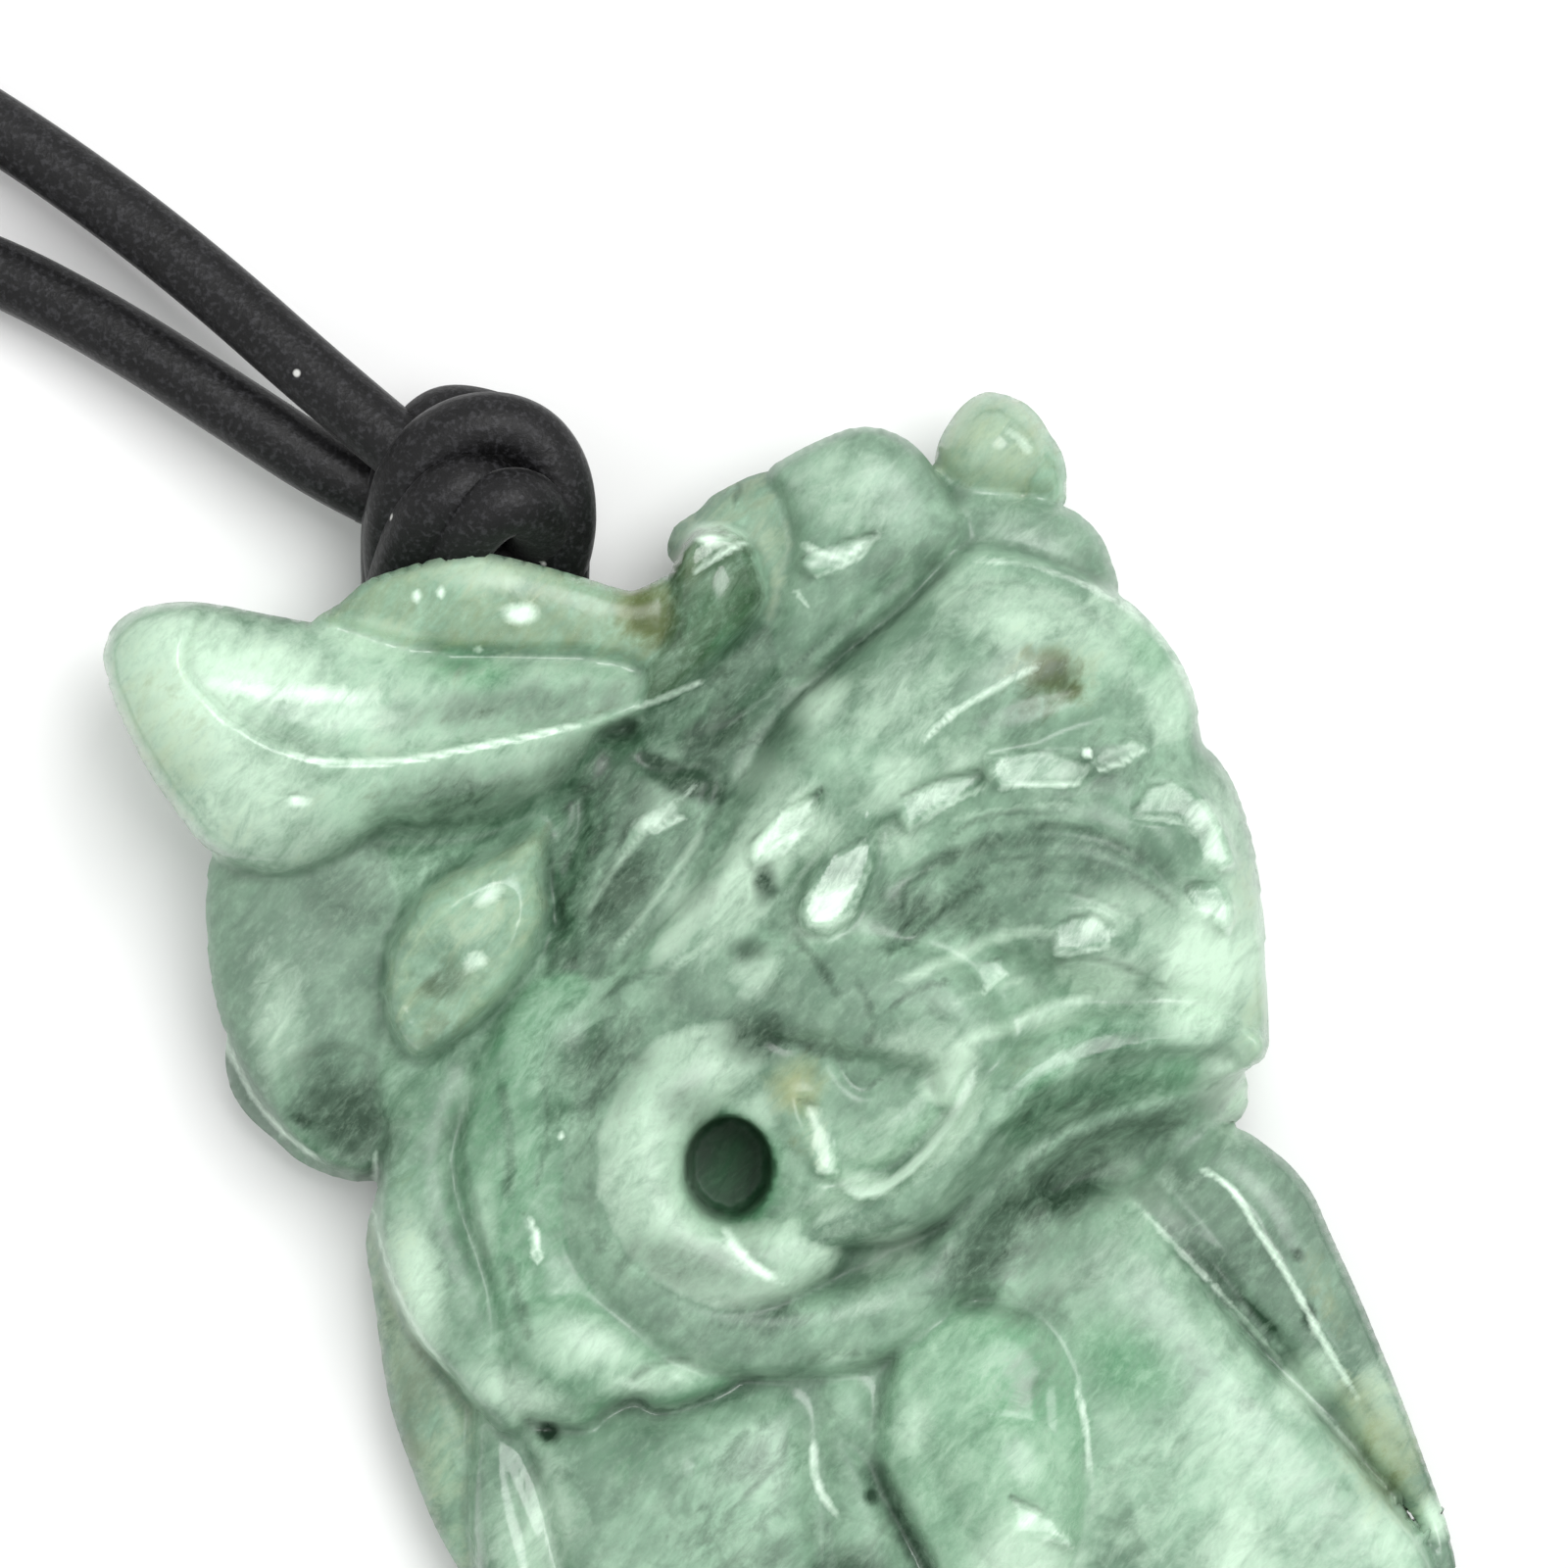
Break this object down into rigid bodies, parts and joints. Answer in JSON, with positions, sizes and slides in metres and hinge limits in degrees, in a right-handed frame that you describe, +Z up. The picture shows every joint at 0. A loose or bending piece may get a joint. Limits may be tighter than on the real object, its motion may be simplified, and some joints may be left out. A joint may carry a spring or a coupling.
{
  "type": "carved stone pendant on a round cord",
  "caption": "Carved green jadeite pendant, a dragon's head on a long tooth, on a knotted black round cord with a plain barrel clasp.",
  "frame": {"origin": "middle of the stone's own box, on the surface that the pendant lies on", "axes": "+Z up from the surface, out of the carved face; +Y along the stone from the tooth's tip to the dragon's crest; +X to the right, the way the dragon looks"},
  "size_m": [0.0706, 0.0928, 0.012],
  "materials": {
    "jadeite": "polished",
    "rubber_cord": "satin",
    "clasp_steel": "satin"
  },
  "bodies": {
    "root": {"dragon_stone": "jadeite", "stone_loop": "rubber_cord", "cord_knot": "rubber_cord", "cord_outer": "rubber_cord", "cord_inner": "rubber_cord", "clasp": "clasp_steel"}
  },
  "joints": []
}
